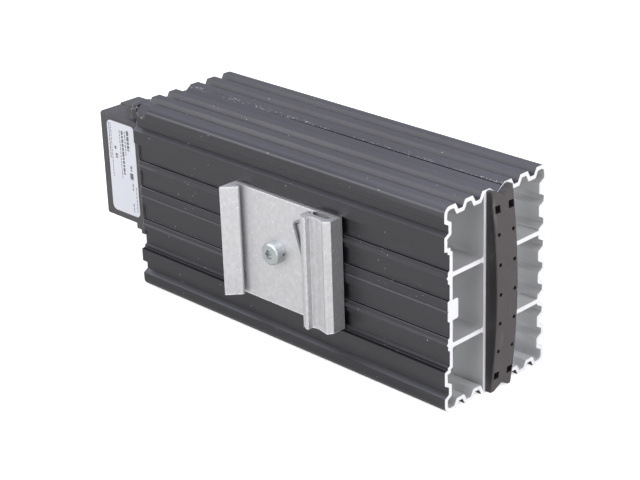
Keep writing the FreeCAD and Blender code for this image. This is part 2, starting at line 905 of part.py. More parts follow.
def insulator(side):
    """Return the ceramic plate between an electrode and the channel's wall."""
    centre = middle_y + side * (stone_thickness / 2 + electrode_thickness + insulator_thickness / 2)
    low_x = stack_margin - 2
    high_x = profile_length - stack_margin + 2
    return slab(centre, insulator_thickness, low_x, high_x, insulator_height)


def lead(side, z):
    """Return the solid lead from an electrode's tab to its busbar."""
    x = -base_thickness - lead_place
    y = electrode_middle(side)
    points = [(-tab_reach, y, z), (x, y, z), (x, busbar_face + busbar_strip, z)]
    return round_bar(points, lead_bend, lead_radius)


def busbar(z):
    """Return the busbar of two clamps, with a lip at the wire entries."""
    start = (-base_thickness - busbar_set_back, busbar_middle, z)
    moves = [("run", busbar_run, 0), ("bend", busbar_bend, -90), ("run", busbar_lip, 0)]
    return bent_strip(start, 180, moves, busbar_strip, busbar_width)


def clamp_spring(z):
    """Return one clamp spring: one leg lies on the casing's wall and the free leg leans on the wire."""
    start = (-base_thickness - clamp_set_back, inside_near + clamp_strip / 2, z)
    moves = [("run", clamp_anchor, 0), ("bend", clamp_bend, -clamp_turn), ("run", clamp_leg, 0)]
    return bent_strip(start, 180, moves, clamp_strip, clamp_width)


def export(name, shape):
    """Move one piece to the part's origin and write it."""
    shape = shape.copy()
    shape.translate(origin_shift)
    shape.exportStep("parts/" + name + ".step")
    extent = shape.BoundBox
    print("%-18s solids %d valid %s volume %.1f mm3, z %.2f to %.2f" % (
        name, len(shape.Solids), shape.isValid(), shape.Volume, extent.ZMin, extent.ZMax))


def main():
    """Build and write every piece."""
    export("heatsink_profile", heatsink_profile())
    export("end_bar", end_bar())
    export("connector_base", connector_base())
    export("connector_housing", connector_housing())
    export("rating_label", rating_label())
    export("din_clip", din_clip())
    export("clip_spring", clip_spring())
    export("clip_screw", clip_screw())
    export("clip_lock_washer", clip_lock_washer())
    for number, (x, z) in enumerate(stone_places(), 1):
        export("ptc_stone_%d" % number, stone_block(x, z, stone_thickness, 0))
    export("stone_frame", stone_frame())
    export("electrode_line", electrode(-1, line_z))
    export("electrode_neutral", electrode(1, neutral_z))
    export("insulator_near", insulator(-1))
    export("insulator_far", insulator(1))
    export("lead_line", lead(-1, line_z))
    export("lead_neutral", lead(1, neutral_z))
    export("busbar_line", busbar(line_z))
    export("busbar_neutral", busbar(neutral_z))
    for number, z in enumerate(pole_places(), 1):
        export("clamp_spring_%d" % number, clamp_spring(z))


main()
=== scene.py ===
# %% [markdown]
# # An enclosure heater, dressed for its portrait
# The frame holds every piece of the heater at its real size. This script leaves those pieces where they
# are and gives them what a bare model lacks: the satin of black anodising, the bright saw cuts, the
# mottled clip, the print on the label, and a plain studio round them.
# Blender works in metres, and the heater is easier to think about in millimetres, so `MM` turns one into
# the other.

# %% Load the frame
import math
import random

import bmesh
import bpy
from mathutils import Matrix, Vector


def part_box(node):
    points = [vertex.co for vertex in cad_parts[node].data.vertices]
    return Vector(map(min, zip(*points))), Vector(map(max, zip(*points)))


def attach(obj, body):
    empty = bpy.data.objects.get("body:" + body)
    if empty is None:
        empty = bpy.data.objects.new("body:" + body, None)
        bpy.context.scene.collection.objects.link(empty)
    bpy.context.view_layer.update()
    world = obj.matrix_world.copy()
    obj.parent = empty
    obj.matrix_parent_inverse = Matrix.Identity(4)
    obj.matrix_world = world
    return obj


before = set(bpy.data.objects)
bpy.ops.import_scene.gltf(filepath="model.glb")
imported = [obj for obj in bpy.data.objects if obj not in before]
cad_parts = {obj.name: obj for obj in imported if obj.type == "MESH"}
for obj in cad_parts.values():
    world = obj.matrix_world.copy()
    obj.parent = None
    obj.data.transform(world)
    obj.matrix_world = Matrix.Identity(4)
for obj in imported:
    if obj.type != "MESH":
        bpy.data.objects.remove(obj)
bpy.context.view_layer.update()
MM = 0.001
print("pieces in the frame:", len(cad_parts))

# %% [markdown]
# ## The camera
# The photograph looks at the heater from its open end and a little from above. A camera can be placed by
# eye, but its errors then spread over the whole picture. So some fifty corners, holes and edges were
# measured, and these values are the camera that puts most of them within a pixel or two of their places.
# A long lens keeps the far edges almost parallel, as a product photographer would.

# %% Place the camera
CAMERA_PLACE = Vector((396.745, -381.672, 269.365)) * MM
CAMERA_TURN = (66.359, 1.787, 44.842)
CAMERA_LENS = 101.356
SENSOR_WIDTH = 36

camera_data = bpy.data.cameras.new("camera")
camera_data.lens = CAMERA_LENS
camera_data.sensor_width = SENSOR_WIDTH
camera = bpy.data.objects.new("camera", camera_data)
camera.location = CAMERA_PLACE
camera.rotation_euler = [math.radians(angle) for angle in CAMERA_TURN]
bpy.context.collection.objects.link(camera)
bpy.context.scene.camera = camera


# %% [markdown]
# ## Arithmetic on sockets
# A Blender material is a graph of nodes. Wiring it by hand takes a line for every node and hides the sum
# behind it. The small class below wraps one output socket, so that `1 - mask * 0.5` builds the Math nodes
# by itself. Everything that isn't plain arithmetic goes through one method, `node`.

# %% A socket that can be added and multiplied
class Signal:
    """One output socket of a recipe, with Python's operators."""

    def __init__(self, recipe, socket):
        self.recipe = recipe
        self.socket = socket

    def __add__(self, other):
        return self.recipe.maths("ADD", self, other)

    def __radd__(self, other):
        return self.recipe.maths("ADD", other, self)

    def __sub__(self, other):
        return self.recipe.maths("SUBTRACT", self, other)

    def __rsub__(self, other):
        return self.recipe.maths("SUBTRACT", other, self)

    def __mul__(self, other):
        return self.recipe.maths("MULTIPLY", self, other)

    def __rmul__(self, other):
        return self.recipe.maths("MULTIPLY", other, self)

    def __truediv__(self, other):
        return self.recipe.maths("DIVIDE", self, other)

    def __rtruediv__(self, other):
        return self.recipe.maths("DIVIDE", other, self)

    def __gt__(self, other):
        return self.recipe.maths("GREATER_THAN", self, other)

    def __lt__(self, other):
        return self.recipe.maths("LESS_THAN", self, other)

    def __abs__(self):
        return self.recipe.maths("ABSOLUTE", self, 0)


# %% [markdown]
# ## A recipe for each finish
# A recipe is one material under construction. A finish could also be a picture wrapped round the piece,
# but that needs unwrapped faces and goes soft from close by. A recipe starts from the piece's own
# coordinates in millimetres instead, so a pattern keeps its real scale and stays put when the camera
# moves. `noise` is soft blotches, or streaks where it is drawn out along one direction, as the die of an
# extrusion leaves them, and `specks` are the small bright points that dust and handling leave on a dark
# surface. `band` is a line with soft edges, and `facing` tells which way a flat face looks, so that a
# side can be told from an end.

# %% The recipe class
class Recipe:
    """A material or a sky being built from nodes, in millimetres."""

    def __init__(self, holder):
        self.holder = holder
        self.holder.use_nodes = True
        self.tree = self.holder.node_tree
        self.tree.nodes.clear()
        coordinates = self.node("ShaderNodeTexCoord", {}, {}, "Object")
        self.place = self.vector("MULTIPLY", coordinates, (1 / MM, 1 / MM, 1 / MM))
        self.x, self.y, self.z = self.parts(self.place)

    def node(self, kind, settings, values, output=0):
        """Add a node: its settings first, then what its inputs hold or are linked to."""
        made = self.tree.nodes.new(kind)
        for name, value in settings.items():
            setattr(made, name, value)
        for name, value in values.items():
            if isinstance(value, Signal):
                self.tree.links.new(value.socket, made.inputs[name])
            else:
                made.inputs[name].default_value = value
        return Signal(self, made.outputs[output])

    def maths(self, operation, first, second):
        """Return a sum of two numbers or signals."""
        return self.node("ShaderNodeMath", {"operation": operation}, {0: first, 1: second})

    def vector(self, operation, first, second):
        """Return a sum of two vectors."""
        return self.node("ShaderNodeVectorMath", {"operation": operation}, {0: first, 1: second})

    def parts(self, vector):
        """Return the three numbers of a vector."""
        outputs = self.node("ShaderNodeSeparateXYZ", {}, {0: vector}).socket.node.outputs
        return [Signal(self, outputs[name]) for name in "XYZ"]

    def ramp(self, signal, start, stop):
        """Return 0 at start and 1 at stop, with a smooth rise between them."""
        settings = {"interpolation_type": "SMOOTHSTEP"}
        values = {"Value": signal, "From Min": start, "From Max": stop}
        return self.node("ShaderNodeMapRange", settings, values)

    def band(self, signal, centre, outer, inner):
        """Return 1 within the inner distance of a centre, fading to 0 at the outer one."""
        return self.ramp(abs(signal - centre), outer, inner)

    def facing(self):
        """Return the three parts of the direction that a flat face looks in."""
        return self.parts(self.node("ShaderNodeNewGeometry", {}, {}, "True Normal"))

    def noise(self, size, drawn=(1, 1, 1), detail=3, seed=0.0):
        """Return noise from 0 to 1 with blotches of the given size, drawn out by the given factors."""
        factors = [1 / (size * factor) for factor in drawn]
        moved = self.vector("MULTIPLY", self.place, factors)
        values = {"Vector": self.vector("ADD", moved, (seed, seed, seed)), "Scale": 1, "Detail": detail}
        return self.node("ShaderNodeTexNoise", {}, values)

    def specks(self, spacing, radius, seed=0.0):
        """Return 1 on small points strewn at about the given spacing."""
        moved = self.vector("ADD", self.place, (seed, seed, seed))
        values = {"Vector": moved, "Scale": 1 / spacing}
        distance = self.node("ShaderNodeTexVoronoi", {}, values, "Distance")
        return self.ramp(distance, radius / spacing, 0.6 * radius / spacing)

    def blend(self, mask, first, second):
        """Return a colour between two colours. The numbers are the colour sockets of the node."""
        return self.node("ShaderNodeMix", {"data_type": "RGBA"}, {0: mask, 6: first, 7: second}, 2)

    def shade(self, colour, factor):
        """Return a colour made lighter or darker by a signal."""
        return self.vector("MULTIPLY", colour, factor)

    def bump(self, height, depth):
        """Return the normal of a surface with hills of the given depth in millimetres."""
        values = {"Height": height, "Distance": depth * MM, "Strength": 1.0}
        return self.node("ShaderNodeBump", {}, values)

    def finish(self, values):
        """Close the recipe with one shader and return the material."""
        shader = self.node("ShaderNodeBsdfPrincipled", {}, values)
        return self.close(shader)

    def close(self, shader, kind="ShaderNodeOutputMaterial"):
        """Join a shader to the output and return the material or the sky."""
        output = self.tree.nodes.new(kind)
        self.tree.links.new(shader.socket, output.inputs["Surface"])
        return self.holder


def material(name):
    """Start the recipe of a new material."""
    return Recipe(bpy.data.materials.new(name))


def dress(names, finish):
    """Give pieces of the frame their material."""
    for name in names:
        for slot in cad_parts[name].material_slots:
            slot.material = finish


print("recipe helpers are ready")

# %% [markdown]
# ## Black anodising with bright saw cuts
# The profile was extruded, anodised black and then sawn to length, so its outside is a satin charcoal and
# its cut ends are bare metal. The walls of the cells took little dye and stay grey. The faces could be
# sorted by hand into three material slots. One material is simpler, because each kind of face is known by
# its place: a cut end by its X, and the outside by lying close to one of the four sides while facing
# outwards.

# %% Masks for the profile
profile_low, profile_high = [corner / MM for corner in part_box("heatsink_profile")]
profile_middle = (profile_low + profile_high) / 2
bar_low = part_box("end_bar")[0] / MM
CUT_BAND = 0.04
SIDE_BAND = 3.2
FACING = 0.05


def cut_mask(recipe):
    """Return 1 on both sawn ends of the profile."""
    return abs(recipe.x - profile_middle.x) > (profile_high.x - profile_low.x) / 2 - CUT_BAND


def outside_mask(recipe):
    """Return 1 on the outside of the profile: close to a side, and facing the way it faces."""
    _, facing_y, facing_z = recipe.facing()
    near = (recipe.y < profile_low.y + SIDE_BAND) * (facing_y < -FACING)
    far = (recipe.y > profile_high.y - SIDE_BAND) * (facing_y > FACING)
    bottom = (recipe.z < profile_low.z + SIDE_BAND) * (facing_z < -FACING)
    top = (recipe.z > profile_high.z - SIDE_BAND) * (facing_z > FACING)
    return near + far + bottom + top > 0.5


print("profile box in mm:", [round(value, 2) for value in (*profile_low, *profile_high)])

# %% [markdown]
# Three places on the outside carry marks of their own. Along the far lip of the top groove runs a crease,
# darkened with painted shade, with a row of tiny nicks painted as bright glints, strongest at the open
# end and fainter at the other. On the clip side, every flank that faces up and the nose of each ridge get
# painted light, and most flanks have a line of painted shade near the wall behind them, as the outer lip
# does. One corner carries a punched mark, whose dent is in the model; its rim has a few bright spots,
# bare metal and painted glints. Its rough rim, the crease and the seams are finer than a mesh of sensible
# size, so masks in the material draw them, each by its place. The distances are in millimetres, in the
# frame of the whole part, and a depth is measured inwards from the clip side.

# %% Crease, steps and punched mark
CREASE_Y = 6.15
CREASE_HALF = 0.19
CREASE_FAINT_X, CREASE_FULL_X = -45, 20
NICK_OFFSET = 0.42
FLANK_FACING = 0.25
FLANK_START, FLANK_STOP = 0.12, 2.29
SEAM_DEPTH = 1.95
SEAM_HALF = 0.24
SEAM_LOWEST = 20
CORNER_RIB = 8
NOSE_HEIGHTS = (45.45, 23.35)
LIP_HEIGHT = 14.42
STAKE_X = profile_low.x + 4.9
STAKE_RADIUS = 2.95
STAKE_CORNER = 5
RIB_RADIUS = 2.6


def crease_marks(recipe):
    """Return two masks for the lip of the top groove: its line of painted shade, and nicks painted as
    glints.
    """
    on_top = recipe.z > profile_high.z - 1
    crease_strength = recipe.ramp(recipe.x, CREASE_FAINT_X, CREASE_FULL_X)
    # Painted shade: the crease is drawn as a dark line, strongest towards the open end.
    line = recipe.band(recipe.y, CREASE_Y, CREASE_HALF, 0.3 * CREASE_HALF) * on_top * crease_strength
    spread = 0.95 - crease_strength * 0.55
    # The nicks are small dents in the bump, painted bright as glints beside the crease.
    beside = recipe.ramp(abs(recipe.y - CREASE_Y - NICK_OFFSET) / spread, 1, 0.4) * on_top
    nicks = beside * recipe.ramp(recipe.noise(0.45, (1.2, 1, 1), 2, 4.0), 0.56, 0.66)
    return line, nicks * recipe.ramp(recipe.noise(11, (1, 1, 1), 1, 2.0), 0.34, 0.5)


def step_marks(recipe):
    """Return two masks for the clip side: painted light on upward flanks and ridge noses, and painted
    shade.
    """
    _, _, facing_z = recipe.facing()
    depth = recipe.y - profile_low.y
    # Painted light on every flank that faces up.
    flank = (facing_z > FLANK_FACING) * (depth > FLANK_START) * (depth < FLANK_STOP)
    flank = flank * (recipe.z < profile_high.z - CORNER_RIB)
    # Painted shade: a dark seam near the wall behind each flank, where the step is shaded.
    seam_shade = flank * recipe.band(depth, SEAM_DEPTH, SEAM_HALF, 0.4 * SEAM_HALF)
    seam_shade = seam_shade * (recipe.z > SEAM_LOWEST)
    # Painted shade along the outer lip low on the clip side.
    lip = recipe.band(recipe.z, LIP_HEIGHT, 0.34, 0.12) * (depth < 1)
    # Painted light: a soft band on the nose of each ridge.
    nose = sum(recipe.band(recipe.z, height, 0.75, 0.1) for height in NOSE_HEIGHTS)
    painted_light = recipe.maths("MAXIMUM", flank, nose * (depth < 1.9) * 0.7)
    return painted_light, recipe.maths("MAXIMUM", seam_shade, lip * 0.9)


def stake_marks(recipe):
    """Return two masks for the punched mark: its disc, and rim spots of bare metal painted bright as
    glints.
    """
    rib_y = recipe.y - (profile_low.y + RIB_RADIUS)
    rib_z = recipe.z - (profile_high.z - RIB_RADIUS)
    across = (rib_y + rib_z) * math.sqrt(0.5)
    along = recipe.x - STAKE_X
    reach = recipe.maths("SQRT", along * along + across * across, 0)
    corner = (recipe.y < profile_low.y + STAKE_CORNER) * (recipe.z > profile_high.z - STAKE_CORNER)
    disc = recipe.ramp(reach, STAKE_RADIUS + 0.15, STAKE_RADIUS - 0.15) * corner
    rim = recipe.ramp(abs(reach - STAKE_RADIUS + 0.25), 0.5, 0.1) * corner
    # Bright spots on the rim: bare metal, with painted glints.
    spots = rim * recipe.ramp(recipe.noise(0.55, (1, 1, 1), 1, 2.0), 0.58, 0.66)
    return disc, spots * recipe.ramp(across, 0.6, -1.2)


print("punched mark at x = %.1f mm" % STAKE_X)

# %% [markdown]
# The satin comes from three things at once: a very dark colour, a medium roughness, and faint streaks
# along the extrusion that change both. Most of what the eye sees on it is the white room, mirrored
# weakly, and a line looks dark only where it mirrors nothing, so the painted shade in the seams and the
# crease is a black metal. Sparse bright specks keep the surface from looking computed, and the top is
# lightened towards the open end as a painted sheen. Each mark is a mask and a colour, laid over the black
# one after another.

# %% Anodised aluminium
ANODISED_IOR = 1.68
ANODISED_TINT = (0.88, 0.86, 0.92, 1)
DYE = [(0.0035, 0.0035, 0.0045, 1), (0.006, 0.0058, 0.0075, 1)]
# Painted sheen on the top towards the open end.
TOP_PAINTED_SHEEN = (0.045, 0.046, 0.054, 1)
SHEEN_START_X, SHEEN_STOP_X = 25, 78
STAKED = (0.04, 0.038, 0.042, 1)
# Painted light on the flanks that face up.
FLANK_PAINTED_LIGHT = (0.055, 0.055, 0.061, 1)
# Black of the painted shade in the crease and the seams.
PAINTED_SHADE_BLACK = (0.003, 0.003, 0.004, 1)
# Grey of the dust specks, and of the painted glints on the nicks and the stake rim.
DUST_AND_GLINT_GREY = (0.5, 0.5, 0.52, 1)
CELL_WALL = [(0.63, 0.635, 0.645, 1), (0.68, 0.685, 0.695, 1)]
CELL_FAR_PAINTED_LIGHT = 0.24
CELL_LOW_PAINTED_LIGHT = 0.12
MOUTH_START, MOUTH_STOP = 54, 69.5
MOUTH_PAINTED_SHADE = 0.42
SAWN = (0.665, 0.665, 0.685)
LEE_WIDTH = 2
LEE_PAINTED_LIGHT = 0.35


def dyed_colour(recipe, cloud, streaks, marks, glint_marks):
    """Return the black of the outside, with dust, painted light and painted shade laid on as mask-colour
    pairs.
    """
    broad = recipe.noise(4.0, (30, 1, 1), 2, 7.0)
    dust = recipe.specks(4.2, 0.26) * (recipe.noise(7.0, detail=1, seed=11.0) > 0.5)
    crowded = recipe.ramp(recipe.noise(13.0, detail=1, seed=5.6), 0.6, 0.63)
    swarm = recipe.specks(1.9, 0.17, 31.0) * crowded
    on_top = recipe.z > profile_high.z - SIDE_BAND
    # Painted sheen: the top grows lighter towards the open end.
    top_sheen = recipe.ramp(recipe.x, SHEEN_START_X, SHEEN_STOP_X) * on_top
    layers = [(top_sheen * 0.5, TOP_PAINTED_SHEEN), *marks, (dust * 0.7, DUST_AND_GLINT_GREY), (swarm * 0.8, DUST_AND_GLINT_GREY), *glint_marks]
    colour = recipe.shade(recipe.blend(cloud, *DYE), 0.6 + streaks * 0.45 + broad * 0.35)
    for mask, paint in layers:
        colour = recipe.blend(mask, colour, paint)
    return colour


def cell_colour(recipe, cloud, streaks):
    """Return the grey of the cells: painted light low down and on the far side, painted shade at the
    mouths.
    """
    mouth = recipe.ramp(abs(recipe.x - profile_middle.x), MOUTH_START, MOUTH_STOP)
    # Painted light low down and on the far side of the cells, and painted shade at their mouths.
    low = recipe.ramp(recipe.z, 40, 0)
    light = 0.97 + streaks * 0.06 + (recipe.y > 0) * CELL_FAR_PAINTED_LIGHT + low * CELL_LOW_PAINTED_LIGHT
    grey = recipe.shade(recipe.blend(cloud, *CELL_WALL), light)
    return recipe.shade(grey, 1 - mouth * MOUTH_PAINTED_SHADE)


def sawn_colour(recipe, saw):
    """Return the bare metal of the cut ends, with painted light on the edge in the end bar's shadow."""
    # Painted light on the cut edge that lies in the shadow of the end bar.
    lee = (recipe.y < bar_low.y) * (recipe.y > bar_low.y - LEE_WIDTH)
    return recipe.shade(SAWN, (0.94 + saw * 0.12) * (1 + lee * LEE_PAINTED_LIGHT))


def anodised_finish():
    """Return the material of the profile."""
    recipe = material("anodised_profile")
    cut = cut_mask(recipe)
    outside = outside_mask(recipe)
    streaks = recipe.noise(0.8, (110, 1, 1), 4)
    cloud = recipe.noise(14.0, (1.6, 1, 1), 3, 3.0)
    saw = recipe.noise(0.35, (1, 1, 12), 3, 4.0)
    line, nicks = crease_marks(recipe)
    disc, spots = stake_marks(recipe)
    flank, seam_shade = step_marks(recipe)
    # Painted shade of the crease and the seams: made rough and a black metal below, so that it mirrors
    # nothing.
    painted_shade = recipe.maths("MAXIMUM", line, seam_shade)

    marks = [(disc * 0.6, STAKED), (flank * 0.8, FLANK_PAINTED_LIGHT), (painted_shade, PAINTED_SHADE_BLACK)]
    # Painted glints on the nicks and on the rim of the punched mark.
    glint_marks = [(nicks * 0.55, DUST_AND_GLINT_GREY), (spots * 0.4, DUST_AND_GLINT_GREY)]
    dyed = dyed_colour(recipe, cloud, streaks, marks, glint_marks)
    colour = recipe.blend(outside, cell_colour(recipe, cloud, streaks), dyed)
    colour = recipe.blend(cut, colour, sawn_colour(recipe, saw))
    roughness = 0.27 + streaks * 0.08 + cloud * 0.08 + painted_shade * 0.4
    roughness = roughness + (1 - outside) * (0.55 - roughness)
    metal = (1 - outside) * 0.15
    metal = metal + cut * (0.3 - metal)
    metal = recipe.maths("MAXIMUM", metal, painted_shade * outside)
    height = streaks * 0.2 + saw * cut * 0.8 - line * 1.5 + nicks + disc * 0.6
    return recipe.finish({
        "Base Color": colour,
        "Roughness": roughness,
        "Metallic": metal,
        "IOR": ANODISED_IOR,
        "Specular Tint": ANODISED_TINT,
        "Normal": recipe.bump(height, 0.02),
    })


dress(["heatsink_profile"], anodised_finish())
print("profile dressed")

# %% [markdown]
# ## Moulded plastic
# The end bar and the connection casing are moulded plastic. The mould leaves a fine even grain and a weak
# gloss, and handling leaves rubbed areas that are a little lighter. Pores cut into the mesh would take
# millions of faces, so a bump stands in for them. One function serves every plastic piece, with its two
# colours, the size of its grain, its roughness and the painted shade of its sides as arguments.

# %% Plastics
RUBBED_PLASTIC = (0.3, 0.3, 0.3, 1)
BAR_COLOURS = [(0.028, 0.023, 0.024, 1), (0.046, 0.038, 0.0395, 1)]
# Painted shade on the sides of the end bar.
BAR_PAINTED_SIDE_SHADE = 0.38
CASING_COLOURS = [(0.044, 0.041, 0.045, 1), (0.062, 0.058, 0.064, 1)]
FRAME_COLOURS = [(0.42, 0.34, 0.22, 1), (0.55, 0.47, 0.33, 1)]


def moulded_finish(name, dark, light, grain, rough, painted_side_shade=1.0):
    """Return a moulded plastic between two colours, with a grain of the given size in millimetres.

    Faces that turn away from the open end get painted shade, a factor given as the last argument.
    """
    recipe = material(name)
    cloud = recipe.noise(9.0, detail=4, seed=1.0)
    pores = recipe.noise(grain, detail=2)
    rubs = recipe.ramp(recipe.noise(2.2, (1, 1, 6), 3, 17.0), 0.6, 0.78)
    colour = recipe.blend(cloud, dark, light)
    facing_x, _, _ = recipe.facing()
    # Painted shade on the faces that turn away from the open end.
    colour = recipe.shade(colour, (0.92 + pores * 0.16) * (painted_side_shade + (facing_x > 0.5) * (1 - painted_side_shade)))
    colour = recipe.blend(rubs * 0.12, colour, RUBBED_PLASTIC)
    return recipe.finish({
        "Base Color": colour,
        "Roughness": rough + pores * 0.1 - rubs * 0.06,
        "Normal": recipe.bump(pores + rubs * 0.3, 0.03),
    })


casing_plastic = moulded_finish("casing_plastic", *CASING_COLOURS, 0.3, 0.46)
dress(["end_bar"], moulded_finish("bar_plastic", *BAR_COLOURS, 0.35, 0.42, BAR_PAINTED_SIDE_SHADE))
dress(["connector_base", "connector_housing"], casing_plastic)
dress(["stone_frame"], moulded_finish("frame_plastic", *FRAME_COLOURS, 0.4, 0.5))
print("plastics dressed")

# %% [markdown]
# ## The rail clip
# The clip was extruded too, but left without a coating, so it shows the mottled grey of mill aluminium:
# soft blotches about a millimetre wide, faint lines along its extrusion, bright flecks and dark pits. A
# metal takes its look from what it reflects, so its roughness spreads the white room evenly over it.
# Its edges are lighter, partly from wear and partly as painted highlights where they round off. A Bevel
# node could find the edges, but it takes in the inner corners too, so they are found by their place
# across the clip, as is the thin dark line along the sprung jaw.

# %% Mill aluminium
clip_low, clip_high = [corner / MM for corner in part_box("din_clip")]
EDGE_BAND = 0.55
SIDE_SHADE = 0.16
END_LIGHT = 0.3
JAW_LINE_X = 33.84
MILL_GREY = [(0.57, 0.565, 0.575, 1), (0.63, 0.625, 0.635, 1)]
# Colour of the worn edges and bright flecks, and of the painted highlights on the edges.
RUB_AND_HIGHLIGHT_METAL = (0.88, 0.88, 0.9, 1)
PIT_AND_LINE_DARK = (0.2, 0.2, 0.21, 1)


def mill_finish():
    """Return the material of the rail clip."""
    recipe = material("mill_aluminium")
    patches = recipe.noise(1.3, (1, 1, 1.3), 5)
    mottle = recipe.noise(0.5, (1, 1, 1.2), 4, 9.0)
    lines = recipe.noise(0.45, (1, 1, 70), 3, 2.0)
    flecks = recipe.ramp(recipe.noise(0.55, (1, 1, 1.4), 3, 21.0), 0.59, 0.67)
    flecks = flecks * recipe.ramp(recipe.noise(5.0, detail=1, seed=8.0), 0.42, 0.6)
    pits = recipe.specks(1.7, 0.13, 23.0)
    facing = recipe.facing()
    middle = (clip_low + clip_high) / 2
    half = (clip_high - clip_low) / 2
    # Edges: wear, and painted highlights where they round off.
    edge_highlight_and_rub = 0
    for place, turned, centre, reach in zip((recipe.x, recipe.y, recipe.z), facing, middle, half):
        edge = recipe.ramp(abs(place - centre), reach - EDGE_BAND, reach - 0.2 * EDGE_BAND)
        edge_highlight_and_rub = recipe.maths("MAXIMUM", edge_highlight_and_rub, edge * (abs(turned) < 0.5))
    edge_highlight_and_rub = edge_highlight_and_rub * recipe.ramp(recipe.noise(0.7, (1, 1, 2), 3, 15.0), 0.36, 0.56)
    # A thin dark line, with a small groove in the bump, runs along the sprung jaw.
    jaw_line = recipe.band(recipe.x, JAW_LINE_X, 0.22, 0.06) * (facing[1] < -0.5)
    on_side, on_end = abs(facing[0]) > 0.9, facing[2] > 0.9
    light = (0.83 + mottle * 0.26 + lines * 0.08) * (1 - on_side * SIDE_SHADE)
    colour = recipe.shade(recipe.blend(recipe.ramp(patches, 0.3, 0.7), *MILL_GREY), light)
    colour = recipe.shade(colour, 1 + on_end * END_LIGHT)
    colour = recipe.blend(recipe.maths("MAXIMUM", edge_highlight_and_rub, flecks * 0.5), colour, RUB_AND_HIGHLIGHT_METAL)
    pits_and_line = recipe.maths("MAXIMUM", pits * 0.3, jaw_line * 0.6)
    colour = recipe.blend(pits_and_line, colour, PIT_AND_LINE_DARK)
    return recipe.finish({
        "Base Color": colour,
        "Metallic": 0.8,
        "Roughness": 0.42 + mottle * 0.12 - edge_highlight_and_rub * 0.1,
        "Normal": recipe.bump(mottle + patches * 0.5 + lines * 0.4 - pits - jaw_line * 2, 0.02),
    })


dress(["din_clip"], mill_finish())
print("clip dressed")


# %% [markdown]
# ## Steel and zinc
# The spring wire is drawn steel and the screw is zinc plated. Both are small, so a little colour change
# and a soft bump are enough, but the zinc is bluish and brighter than the aluminium round it. The same
# function, with other colours, makes the copper and the contact plates inside.

# %% Small metals
def small_metal(name, dark, light, rough, size):
    """Return a metal between two colours, with mottling of the given size in millimetres."""
    recipe = material(name)
    mottle = recipe.noise(size, detail=4)
    fine = recipe.noise(size / 5, detail=2, seed=6.0)
    colour = recipe.shade(recipe.blend(mottle, dark, light), 0.9 + fine * 0.2)
    return recipe.finish({
        "Base Color": colour,
        "Metallic": 1.0,
        "Roughness": rough + mottle * 0.1,
        "Normal": recipe.bump(fine, 0.01),
    })


zinc = small_metal("zinc_plate", (0.34, 0.37, 0.37, 1), (0.60, 0.635, 0.63, 1), 0.3, 1.0)
spring_steel = small_metal("spring_steel", (0.20, 0.20, 0.21, 1), (0.34, 0.34, 0.35, 1), 0.3, 0.8)
copper = small_metal("copper", (0.66, 0.36, 0.22, 1), (0.82, 0.5, 0.34, 1), 0.28, 2.0)
contact_metal = small_metal(
    "contact_aluminium", (0.6, 0.6, 0.61, 1), (0.74, 0.74, 0.75, 1), 0.34, 3.0
)
dress(["clip_screw", "clip_lock_washer"], zinc)
dress(["clip_spring"] + ["clamp_spring_%d" % number for number in range(1, 5)], spring_steel)
dress(["lead_line", "lead_neutral", "busbar_line", "busbar_neutral"], copper)
dress(["electrode_line", "electrode_neutral"], contact_metal)
print("small metals dressed")


# %% [markdown]
# ## Ceramics
# Inside the channel, four heating stones stand between white ceramic plates. Nobody sees them in the
# portrait, but someone who takes the heater apart does. Sintered ceramic is matt and finely speckled,
# and two sizes of noise are enough for that: a broad one for its clouds and a fine one for its grains.

# %% Ceramics
def ceramic(name, dark, light):
    """Return a matt sintered ceramic between two colours."""
    recipe = material(name)
    cloud = recipe.noise(6.0, detail=4)
    grains = recipe.noise(0.3, detail=2, seed=8.0)
    colour = recipe.shade(recipe.blend(cloud, dark, light), 0.88 + grains * 0.24)
    return recipe.finish({
        "Base Color": colour,
        "Roughness": 0.62 + grains * 0.2,
        "Normal": recipe.bump(grains, 0.02),
    })


stone = ceramic("stone", (0.16, 0.14, 0.13, 1), (0.26, 0.24, 0.22, 1))
dress(["ptc_stone_%d" % number for number in range(1, 5)], stone)
white_ceramic = ceramic("white_ceramic", (0.7, 0.7, 0.66, 1), (0.8, 0.8, 0.77, 1))
dress(["insulator_near", "insulator_far"], white_ceramic)
print("ceramics dressed")


# %% [markdown]
# ## The label
# The label is a white film with generic print: short grey bars in rows, as small type looks from a step
# away. The bars could be a mask in the film's material, but thin print goes soft when a material is baked
# into a picture, so they are real geometry, a hundredth of a millimetre thick. Each row runs down the
# label, and a seeded random choice gives the bars uneven lengths.

# %% Film
def film_finish():
    """Return the material of the label."""
    recipe = material("label_film")
    cloud = recipe.noise(7.0, detail=2)
    fibre = recipe.noise(0.25, detail=2, seed=4.0)
    colour = recipe.blend(cloud, (0.60, 0.61, 0.67, 1), (0.64, 0.65, 0.71, 1))
    return recipe.finish({
        "Base Color": colour,
        "Roughness": 0.38 + fibre * 0.1,
        "Normal": recipe.bump(fibre, 0.004),
    })


def ink_finish():
    """Return the material of the print."""
    recipe = material("label_ink")
    patchy = recipe.noise(0.4, detail=2)
    colour = recipe.blend(patchy, (0.07, 0.07, 0.085, 1), (0.16, 0.16, 0.18, 1))
    return recipe.finish({"Base Color": colour, "Roughness": 0.5 + patchy * 0.1})


dress(["rating_label"], film_finish())
print("label film dressed")

# %% Rows of print
INK_THICKNESS = 0.01
label_low, label_high = [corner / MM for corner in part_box("rating_label")]
